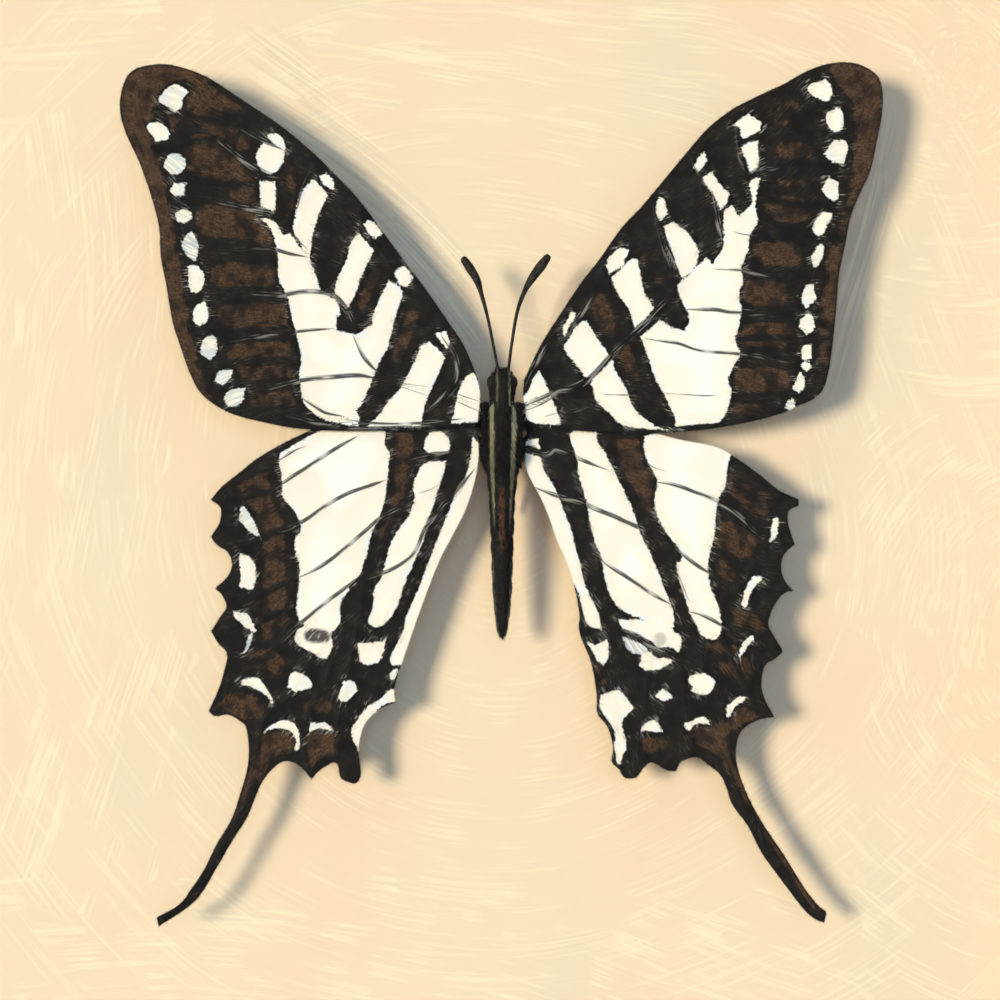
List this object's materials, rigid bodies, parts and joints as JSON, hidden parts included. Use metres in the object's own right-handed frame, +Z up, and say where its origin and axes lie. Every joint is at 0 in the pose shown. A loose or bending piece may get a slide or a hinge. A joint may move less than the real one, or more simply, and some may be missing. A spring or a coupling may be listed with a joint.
{
  "type": "framed butterfly specimen",
  "caption": "Set swallowtail butterfly, black with cream bands and long tails, mounted on a cream board behind glass in a dark wooden box frame with a hanger on its back.",
  "frame": {"origin": "middle of the bottom face of the box frame's bounding box, on the surface that it stands on", "axes": "+Z up the picture, +X to the right of the picture as seen from the front, -Y out through the glass towards the viewer"},
  "size_m": [0.152, 0.032, 0.152],
  "materials": {
    "frame_wood": "dark stained wood, satin",
    "picture_glass": "clear picture glass",
    "spacer_paper": "matt cream paper over card",
    "board_paper": "card with a brushed cream paint",
    "fibreboard": "brown hard fibreboard",
    "point_steel": "thin tinned steel",
    "hanger_steel": "zinc plated",
    "pin_steel": "polished steel",
    "body_hair": "dry insect body with short black hair and olive stripes",
    "antenna_horn": "dry black horn",
    "wing_scales": "dry wing membrane with black, brown and cream scales"
  },
  "bodies": {
    "root": {"rail_top": "frame_wood", "rail_right": "frame_wood", "rail_bottom": "frame_wood", "rail_left": "frame_wood", "glass_pane": "picture_glass", "spacer_top": "spacer_paper", "spacer_right": "spacer_paper", "spacer_bottom": "spacer_paper", "spacer_left": "spacer_paper", "backing_board": "board_paper", "back_panel": "fibreboard", "framers_point_top_1": "point_steel", "framers_point_top_2": "point_steel", "framers_point_right_1": "point_steel", "framers_point_right_2": "point_steel", "framers_point_bottom_1": "point_steel", "framers_point_bottom_2": "point_steel", "framers_point_left_1": "point_steel", "framers_point_left_2": "point_steel", "sawtooth_hanger": "hanger_steel", "hanger_nail_left": "hanger_steel", "hanger_nail_right": "hanger_steel", "mounting_pin": "pin_steel", "body": "body_hair", "antenna_left": "antenna_horn", "antenna_right": "antenna_horn", "forewing_left": "wing_scales", "forewing_right": "wing_scales", "hindwing_left": "wing_scales", "hindwing_right": "wing_scales"}
  },
  "joints": []
}
